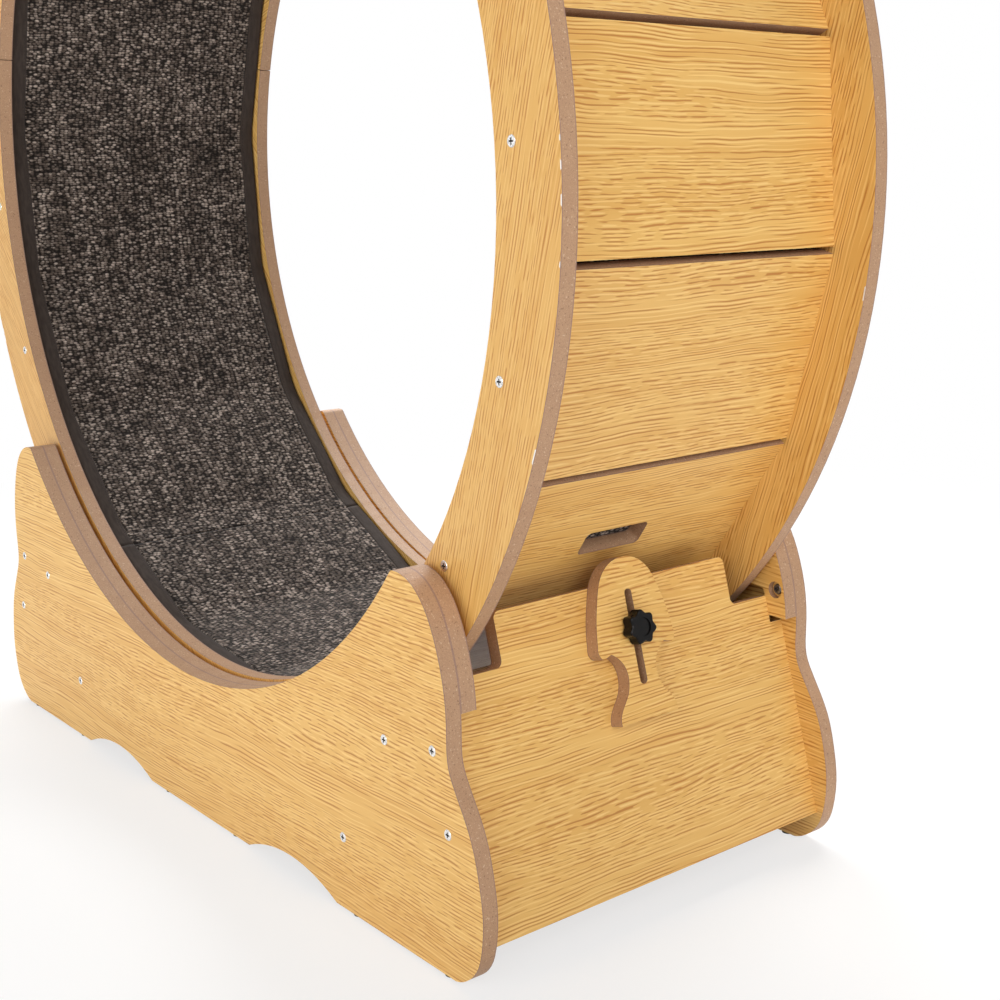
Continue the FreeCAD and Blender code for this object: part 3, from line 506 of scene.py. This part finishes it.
# %% [markdown]
# ## The carpet's path
#
# The carpet lies on the slats, so it follows an eighteen-sided polygon, but a carpet can't
# fold sharply and each corner is a soft bend. In polar form a flat side at distance `a` is
# `a / cos(angle from its middle)`. A bend is a small circle inside the corner: along a ray at
# angle `t` from the corner it lies at `c cos t + sqrt(r^2 - c^2 sin^2 t)`, where `c` is the
# distance of the circle's centre.

# %% The polygon with bent corners
TURN = 2 * math.pi
HALF_STEP = math.radians(SLAT_STEP / 2)
SEAM = math.radians(237.0)
SEAM_HALF_GAP = 0.0016
SEAM_RISE = 0.0026
SEAM_REACH = 0.32
BACK_APOTHEM = 0.3997
BACK_BEND = 0.076


def lining_radius(angle, apothem, bend):
    """Distance from the axis to the bent polygon along each angle, for whole arrays."""
    t = (angle - math.radians(FIRST_SLAT) + HALF_STEP) % (2 * HALF_STEP) - HALF_STEP
    flat = apothem / np.cos(t)
    corner = HALF_STEP - np.abs(t)
    centre = (apothem - bend) / math.cos(HALF_STEP)
    inside = np.maximum(bend ** 2 - (centre * np.sin(corner)) ** 2, 0)
    curve = centre * np.cos(corner) + np.sqrt(inside)
    bend_starts = (apothem - bend) * math.tan(HALF_STEP)
    return np.where(apothem * np.tan(np.abs(t)) > bend_starts, curve, flat)


def end_rise(angles):
    """How far the carpet stands off the slats: a bell shape, highest where its ends meet."""
    from_seam = (angles - SEAM + math.pi) % TURN - math.pi
    return SEAM_RISE * np.exp(-(from_seam / SEAM_REACH) ** 2)


def strip_angles(stations):
    """The stations' angles, once round from one side of the seam to the other."""
    return SEAM + np.linspace(SEAM_HALF_GAP, TURN - SEAM_HALF_GAP, stations)


def swept_strip(section, angles):
    """A closed strip round the lining.

    Each row of section is a depth from the carpet's back and a place along the axis; the
    strip is that closed section at each angle. Returns the grid of points, angles x section.
    """
    depth = section[None, :, 0] + end_rise(angles)[:, None]
    apothem = BACK_APOTHEM - depth
    radius = lining_radius(angles[:, None], apothem, BACK_BEND - depth)
    side = np.broadcast_to(section[None, :, 1], radius.shape)
    return np.stack([radius * np.cos(angles)[:, None], side,
                     radius * np.sin(angles)[:, None] + AXIS_Z], -1)


# %% [markdown]
# ## Turning a grid into a mesh
#
# A strip is a grid of points: one row for each station along the path, one column for each
# corner of the section. Neighbouring points give quads, the last column joins the first, and
# the two end rows are closed with one face each, so the strip is watertight.

# %% From a grid to an object
def strip_object(name, grid, lengths):
    """Builds the closed strip and gives it a UV map in metres: along it and across it."""
    rows, columns = grid.shape[:2]
    index = np.arange(rows * columns).reshape(rows, columns)
    beside = np.roll(index, -1, axis=1)
    quads = np.stack([index[:-1], beside[:-1], beside[1:], index[1:]], -1).reshape(-1, 4)
    faces = quads.tolist() + [index[0, ::-1].tolist(), index[-1].tolist()]
    mesh = bpy.data.meshes.new(name)
    mesh.from_pydata(grid.reshape(-1, 3).tolist(), [], faces)
    corner = np.empty(len(mesh.loops), np.int32)
    mesh.loops.foreach_get("vertex_index", corner)
    flat = np.stack([lengths[corner // columns], grid.reshape(-1, 3)[corner, 1]], -1)
    layer = mesh.uv_layers.new(name="cut")
    layer.data.foreach_set("uv", flat.astype(np.float32).ravel())
    mesh.polygons.foreach_set("use_smooth", np.ones(len(faces), bool))
    mesh.update()
    piece = bpy.data.objects.new(name, mesh)
    bpy.context.scene.collection.objects.link(piece)
    return piece


def run_length(grid, column):
    """Distance along one column of the grid, from its first row."""
    steps = np.linalg.norm(np.diff(grid[:, column], axis=0), axis=1)
    return np.concatenate([[0], np.cumsum(steps)])


# %% [markdown]
# ## The pile
#
# The pile's face isn't flat: each loop stands a little higher or lower than its neighbours, and
# the cloth lies unevenly over the slat joints. Both are real geometry here, with a point for
# about every loop, so that the loops catch the light one by one. The yarn itself is left to the
# material.

# %% Make the runner
EDGE = 0.129
PILE_EDGE = 0.1145
PILE = 0.0058
BACK_DEPTH = 0.0002
STATIONS = 1080
COLUMNS = 85
WAVE_HEIGHT = 0.0002
LOOP_HEIGHT = 0.00022
across_pile = np.linspace(PILE_EDGE, -PILE_EDGE, COLUMNS)
back_line = [[BACK_DEPTH, -PILE_EDGE], [BACK_DEPTH, 0.0], [BACK_DEPTH, PILE_EDGE]]
section = np.vstack([back_line, np.column_stack([np.full(COLUMNS, PILE), across_pile])])
angles = strip_angles(STATIONS)
grid = swept_strip(section, angles)
wave = (np.sin(41 * angles[:, None] + 60 * across_pile[None])
        + np.sin(97 * angles[:, None] - 110 * across_pile[None] + 1.3)
        + np.sin(173 * angles[:, None] + 190 * across_pile[None] + 4.0)) / 3
loops = np.random.default_rng(5).uniform(-1, 1, wave.shape)
outward = np.stack([np.cos(angles), 0 * angles, np.sin(angles)], -1)
height = WAVE_HEIGHT * wave + LOOP_HEIGHT * loops
grid[:, len(back_line):] += height[..., None] * outward[:, None]
runner = strip_object("carpet_pile", grid, run_length(grid, 1))
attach(runner, "wheel")
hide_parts("carpet_runner")

# %% [markdown]
# ## Loop pile as a material
#
# Seen close, the pile is rows of small rounded loops in mixed charcoal and warm grey yarn, and
# the gaps between them are painted nearly black as shade. A Voronoi texture gives one cell to
# each loop: the distance from the cell's middle makes its rounded top and the painted shade of
# the gap round it, and a random value per cell makes its yarn paler or darker. It reads the
# strip's own UV map, in metres, so the rows run along the carpet and turn with the wheel.

# %% Paint the pile
LOOP_LENGTH = 0.0022
LOOP_WIDTH = 0.0040


def pile_paint():
    paint = Paint("loop_pile")
    length, width = paint.parts(paint.place("UV"))
    drift = paint.noise(paint.vector(length * 60.0, width * 60.0), detail=1.0)
    cells = {"Vector": paint.vector(length / LOOP_LENGTH + drift, width / LOOP_WIDTH),
             "Scale": 1.0, "Randomness": 0.6}
    away = paint.node("ShaderNodeTexVoronoi", {}, cells)
    yarn = paint.node("ShaderNodeTexVoronoi", {}, cells, "Color").dot((1, 0, 0))
    strand = paint.noise(paint.vector(length * 1500.0, width * 900.0), detail=1.0)
    streak = paint.noise(paint.vector(length * 14.0, width * 130.0), detail=2.0)
    patch = paint.noise(paint.vector(length * 30.0, width * 40.0), detail=2.0)
    loop = 1 - away.step(0.30, 0.68)
    tone = yarn * 0.30 + strand * 0.30 + streak * 0.45 + patch * 0.30 - 0.18
    wool = paint.node("ShaderNodeValToRGB", {"stops": [
        (0.26, srgb(66, 56, 49)), (0.48, srgb(110, 97, 88)), (0.72, srgb(206, 189, 176))]},
        {"Fac": tone})
    # painted shade: the gaps between the loops are darkened nearly to black
    colour = paint.mix((1 - loop) * 0.96, wool, srgb(16, 11, 9))
    return paint.finish(colour, 0.95, loop + strand * 0.3, depth=0.0012, strength=0.6,
                        Sheen_Weight=0.12, Specular_IOR_Level=0.15)


runner.data.materials.append(pile_paint())
print("loops across the pile:", round(2 * PILE_EDGE / LOOP_WIDTH))

# %% [markdown]
# ## The sewn edge
#
# A binding tape is folded over each edge of the carpet and sewn down, so the edge is smooth,
# darker and a little thicker than the pile. Its section is a flat rounded hoop: a
# superellipse, whose corners are fuller than a circle's.

# %% Make the bindings
BINDING_THICKNESS = 0.0063
BINDING_STATIONS = 720
FULLNESS = 0.45


def binding_section(low, high, points=28):
    """A closed section with full corners: cosine and sine, each to the power of FULLNESS."""
    t = np.linspace(0, TURN, points, endpoint=False)
    x = np.sign(np.cos(t)) * np.abs(np.cos(t)) ** FULLNESS
    y = np.sign(np.sin(t)) * np.abs(np.sin(t)) ** FULLNESS
    return np.column_stack([BINDING_THICKNESS / 2 * (1 + y),
                            (low + high) / 2 + (high - low) / 2 * x])


TWILL_TURN = 5200.0
STITCH_ROW = 0.1172
STITCH_PITCH = 0.0036


def binding_paint():
    """Woven tape: a fine twill in its bump, and a row of stitches near its inner edge."""
    paint = Paint("binding_tape")
    length, width = paint.parts(paint.place("UV"))
    twill = ((length + width) * TWILL_TURN).math("SINE") * 0.5 + 0.5
    stitch_row = 1 - (width.size() - STITCH_ROW).size().step(0.0003, 0.0006)
    stitch = stitch_row * (length * (TURN / STITCH_PITCH)).math("SINE").step(-0.2, 0.2)
    patch = paint.noise(paint.vector(length * 90.0, width * 300.0), detail=3.0)
    colour = paint.mix(patch.step(0.3, 0.7), srgb(56, 47, 42), srgb(68, 58, 52))
    colour = paint.mix(stitch * 0.6, colour, srgb(46, 38, 35))
    height = twill * 0.3 + patch * 0.3 + stitch * 0.8
    return paint.finish(colour, 0.88, height, depth=0.0004, strength=0.7, Sheen_Weight=0.1,
                        Specular_IOR_Level=0.25)


tape = binding_paint()
for side, low, high in (("near", -EDGE, -PILE_EDGE), ("far", PILE_EDGE, EDGE)):
    grid = swept_strip(binding_section(low, high)[::-1], strip_angles(BINDING_STATIONS))
    binding = strip_object(f"{side}_binding", grid, run_length(grid, 0))
    binding.data.materials.append(tape)
    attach(binding, "wheel")
    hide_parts(f"{side}_carpet_binding")

# %% [markdown]
# ## Floor
#
# The photograph has a white ground. The floor and the world are white where the camera sees
# them, or sees them reflected in a screw, and light the boards only by their real, dimmer
# shading. Close to the base the floor also shows a share of that shading, so that a soft shadow
# ties the base to it, and the share gets smaller further off.

# %% Floor
FLOOR_REACH = 9.0
WHITE_SHARE = 0.7


def floor_material():
    paint = Paint("pale_floor")
    spot = paint.place()
    cloud = paint.noise(spot, scale=1.5)
    paint.finish(paint.mix(cloud, srgb(243, 242, 240), srgb(248, 247, 246)), 0.9)
    away = paint.node("ShaderNodeVectorMath", {"operation": "LENGTH"}, {0: spot}, "Value")
    white = paint.node("ShaderNodeEmission", inputs={"Color": (1, 1, 1), "Strength": 1.0})
    share = paint.seen_directly() * (away.step(0.5, 1.5) * (1 - WHITE_SHARE) + WHITE_SHARE)
    mixed = paint.node("ShaderNodeMixShader", inputs={
        0: share, 1: Field(paint, paint.shader.outputs[0]), 2: white})
    paint.fill(paint.tree.nodes["Material Output"].inputs["Surface"], mixed)
    return paint.material


mesh = bpy.data.meshes.new("floor")
square = ((-1, -1), (1, -1), (1, 1), (-1, 1))
corners = [(x * FLOOR_REACH, y * FLOOR_REACH, 0) for x, y in square]
mesh.from_pydata(corners, [], [(0, 1, 2, 3)])
floor = bpy.data.objects.new("floor", mesh)
floor.data.materials.append(floor_material())
bpy.context.scene.collection.objects.link(floor)
print("floor:", 2 * FLOOR_REACH, "m square")

# %% [markdown]
# ## Light
#
# The light is soft and comes from several sides. Much of it comes from above and from the left,
# over the wheel's open sides, so the carpet is palest at its bottom. A box to the right lights
# the slats and the end panel, and two in front light the rim and the side panel, the lower one
# more strongly. The powers were fitted to the mean levels of patches of the photograph.

# %% World and lamps
world = bpy.data.worlds.new("studio")
bpy.context.scene.world = world
world.use_nodes = True
sky = Tree(world.node_tree)
soft = sky.node("ShaderNodeBackground", inputs={"Color": (1, 1, 1), "Strength": 0.13})
plain = sky.node("ShaderNodeBackground", inputs={"Color": (1, 1, 1), "Strength": 1.0})
either = sky.node("ShaderNodeMixShader", inputs={0: sky.seen_directly(), 1: soft, 2: plain})
sky.fill(sky.tree.nodes["World Output"].inputs["Surface"], either)


def lamp(name, place, target, size, power):
    """A square soft box that faces its target."""
    light = bpy.data.lights.new(name, "AREA")
    light.size = size
    light.energy = power
    box = bpy.data.objects.new(name, light)
    z = np.array(place, float) - np.array(target, float)
    z /= np.linalg.norm(z)
    x = np.cross([0, 0, 1], z)
    x /= np.linalg.norm(x)
    box.matrix_world = placed(x, np.cross(z, x), z, place)
    bpy.context.scene.collection.objects.link(box)


lamp("front_low", (0.0, -1.7, 0.32), (0, 0, 0.2), 0.6, 8.6)
lamp("front_right", (1.7, -2.6, 1.6), (0, 0, 0.4), 1.6, 23.0)
lamp("side", (2.7, -0.5, 1.6), (0.2, 0, 0.4), 1.6, 33.0)
lamp("back_top", (-0.5, 1.8, 3.2), (0, 0, 0.3), 1.8, 86.0)
lamp("left", (-2.4, 0.9, 2.7), (0, 0, 0.3), 1.8, 92.0)
bpy.context.scene.view_settings.view_transform = "Standard"
print("lamps:", len(bpy.data.lights))
